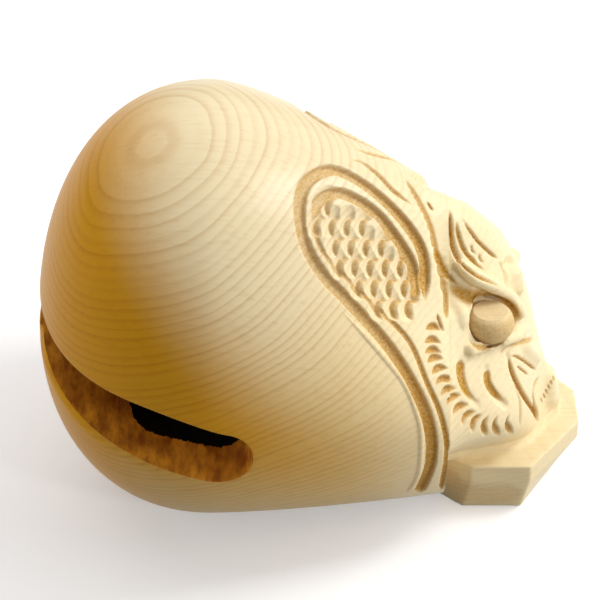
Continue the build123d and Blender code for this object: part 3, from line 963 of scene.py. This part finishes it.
# The eyes: two turned buttons of the same wood, each a little flattened, sanded to one level facet and glued
# into its socket by a peg. The button is browned, partly as painted shade, and its facet is browned less, so
# that the facet is paler than the button's flank: painted light on its top.
EYE_PLACE = Vector((0.0468, 0.0188, 0.0591))
EYE_LOOK = Vector((0.35, 0.7, 0.55)).normalized()
EYE_RADIUS = 0.0065
EYE_FACET = 0.0046
EYE_SQUASH = 0.16
EYE_PEG_RADIUS = 0.0025
EYE_SEGMENTS = 48
EYE_RINGS = 32
EYE_BROWN_AND_SHADE = 0.6
FACET_PAINTED_LIGHT = 0.25
FACET_LIGHT_FROM = 0.0025
FACET_LIGHT_OVER = 0.0012
EYE_PEG_LENGTH = 0.008
EYE_PEG_ROOT = 0.001
EYE_PEG_SEGMENTS = 24
SMALL_FACE_CORNERS = 4

eye_finish = wood("oiled_eye")
for name, node, hand in (("eye_left", "left_eye", 1), ("eye_right", "right_eye", -1)):
    place = Vector((EYE_PLACE.x, hand * EYE_PLACE.y, EYE_PLACE.z))
    look = Vector((EYE_LOOK.x, hand * EYE_LOOK.y, EYE_LOOK.z))
    turned = look.to_track_quat("Z", "Y").to_matrix()
    stand = Matrix.Translation(place) @ turned.to_4x4()
    upward = turned.transposed() @ Vector((0, 0, 1))
    eye_mesh = bmesh.new()
    bmesh.ops.create_uvsphere(eye_mesh, u_segments=EYE_SEGMENTS, v_segments=EYE_RINGS, radius=EYE_RADIUS)
    saw(eye_mesh, EYE_FACET * upward, upward)
    cap(eye_mesh)
    for edge in eye_mesh.edges:
        edge.smooth = not all(abs(vert.co.dot(upward) - EYE_FACET) < ON_PLANE for vert in edge.verts)
    for vert in eye_mesh.verts:
        vert.co -= EYE_SQUASH * vert.co.dot(upward) * upward
    peg_place = Matrix.Translation((0, 0, -EYE_RADIUS - EYE_PEG_LENGTH / 2 + EYE_PEG_ROOT))
    round_bar(eye_mesh, EYE_PEG_RADIUS, EYE_PEG_LENGTH, EYE_PEG_SEGMENTS, peg_place)
    brown_and_shade_layer = eye_mesh.verts.layers.float.new("stain")
    # Browned all over, partly as painted shade, and less on the facet, which is painted light on its top.
    for vert in eye_mesh.verts:
        on_facet = float(eased((vert.co.dot(upward) - FACET_LIGHT_FROM) / FACET_LIGHT_OVER))
        vert[brown_and_shade_layer] = EYE_BROWN_AND_SHADE - FACET_PAINTED_LIGHT * on_facet
    for face in eye_mesh.faces:
        face.smooth = len(face.verts) <= SMALL_FACE_CORNERS
    bmesh.ops.transform(eye_mesh, matrix=stand, verts=eye_mesh.verts)
    bmesh.ops.recalc_face_normals(eye_mesh, faces=eye_mesh.faces)
    eye = new_piece(name, eye_mesh)
    eye.data.materials.append(eye_finish)
    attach(eye, "root")
    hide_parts(node)

# The dowels: four straight pins of the same wood, glued across the seam behind the hollow.
# They are hidden once the shells are closed, so the solid of the frame stays and only takes the wood.
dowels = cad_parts["rim_dowels"]
dowels.data.materials.clear()
dowels.data.materials.append(wood("plain_dowel"))

# The studio: a pale table that runs out of sight, a soft key lamp high on the head's side, a wide one
# overhead, two weak warm ones at the ends and a narrow snoot on the table under the head.
# The table is near white to the eye, and grey in the light that it throws back at the wood.
LAMP_DISTANCE = 1.0
LAMPS = {
    "key": {"source": (0.62, 0.14, 0.75), "size": 0.34, "power": 4.5,
            "colour": (1, 1, 1), "glossy": True},
    "overhead": {"source": (-0.10, 0.55, 1.0), "size": 1.8, "power": 10.0,
                 "colour": (1, 1, 1), "glossy": True},
    "face": {"source": (0.97, -0.18, 0.45), "size": 0.7, "power": 3.9,
             "colour": (1, 0.98, 0.95), "glossy": False},
    "mouth": {"source": (-0.98, -0.06, 0.20), "size": 0.9, "power": 3.8,
              "colour": (1, 0.97, 0.92), "glossy": False},
}
SNOOT_AIM = Vector((0.085, -0.020, 0.022))
SNOOT_SOURCE = Vector((0.60, -0.64, 0.40)).normalized()
SNOOT_CONE = math.radians(8.4)
SNOOT_SOFTNESS = 0.12
SNOOT_POWER = 58.0
SNOOT_BLEND = 1
SKY_COLOUR = (1, 1, 1, 1)
SKY_STRENGTH = 0.10
TABLE_COLOUR = (0.42, 0.42, 0.42, 1)
TABLE_SHOWN = (0.86, 0.86, 0.87, 1)
TABLE_GLOW = 0.30
TABLE_ROUGHNESS = 0.9
TABLE_HALF = 3
SEEING_RAYS = ("Is Camera Ray", "Is Glossy Ray", "Is Transmission Ray")

table_mesh = bmesh.new()
bmesh.ops.create_grid(table_mesh, x_segments=1, y_segments=1, size=TABLE_HALF)
table = new_piece("table", table_mesh)
paper = bpy.data.materials.new("paper")
paper.use_nodes = True
paper_shader = paper.node_tree.nodes["Principled BSDF"]
paper_shader.inputs["Roughness"].default_value = TABLE_ROUGHNESS
paper_shader.inputs["Specular IOR Level"].default_value = 0
paper_shader.inputs["Emission Strength"].default_value = TABLE_GLOW
ray = Wire(paper.node_tree)
seen, mirrored, through = [ray.add("ShaderNodeLightPath", output=kind) for kind in SEEING_RAYS]
shown = seen.math("MAXIMUM", seen, mirrored.math("MAXIMUM", mirrored, through))
table_colour = mixed(shown, TABLE_COLOUR, TABLE_SHOWN)
paper.node_tree.links.new(shown.socket, paper_shader.inputs["Emission Color"])
paper.node_tree.links.new(table_colour.socket, paper_shader.inputs["Base Color"])
table.data.materials.append(paper)

for name, lamp_is in LAMPS.items():
    lamp = bpy.data.objects.new(name, bpy.data.lights.new(name, "AREA"))
    lamp.data.size = lamp_is["size"]
    lamp.data.energy = lamp_is["power"]
    lamp.data.color = lamp_is["colour"]
    source = Vector(lamp_is["source"]).normalized()
    lamp.location = CAMERA_AIM + LAMP_DISTANCE * source
    lamp.rotation_euler = source.to_track_quat("Z", "Y").to_euler()
    lamp.visible_glossy = lamp_is["glossy"]
    bpy.context.scene.collection.objects.link(lamp)

snoot = bpy.data.objects.new("snoot", bpy.data.lights.new("snoot", "SPOT"))
snoot.data.energy = SNOOT_POWER
snoot.data.spot_size = SNOOT_CONE
snoot.data.spot_blend = SNOOT_BLEND
snoot.data.shadow_soft_size = SNOOT_SOFTNESS
snoot.location = SNOOT_AIM + LAMP_DISTANCE * SNOOT_SOURCE
snoot.rotation_euler = SNOOT_SOURCE.to_track_quat("Z", "Y").to_euler()
snoot.visible_glossy = False
bpy.context.scene.collection.objects.link(snoot)

world = bpy.data.worlds.new("studio")
world.use_nodes = True
world.node_tree.nodes["Background"].inputs["Color"].default_value = SKY_COLOUR
world.node_tree.nodes["Background"].inputs["Strength"].default_value = SKY_STRENGTH
bpy.context.scene.world = world
bpy.context.scene.view_settings.view_transform = "Standard"
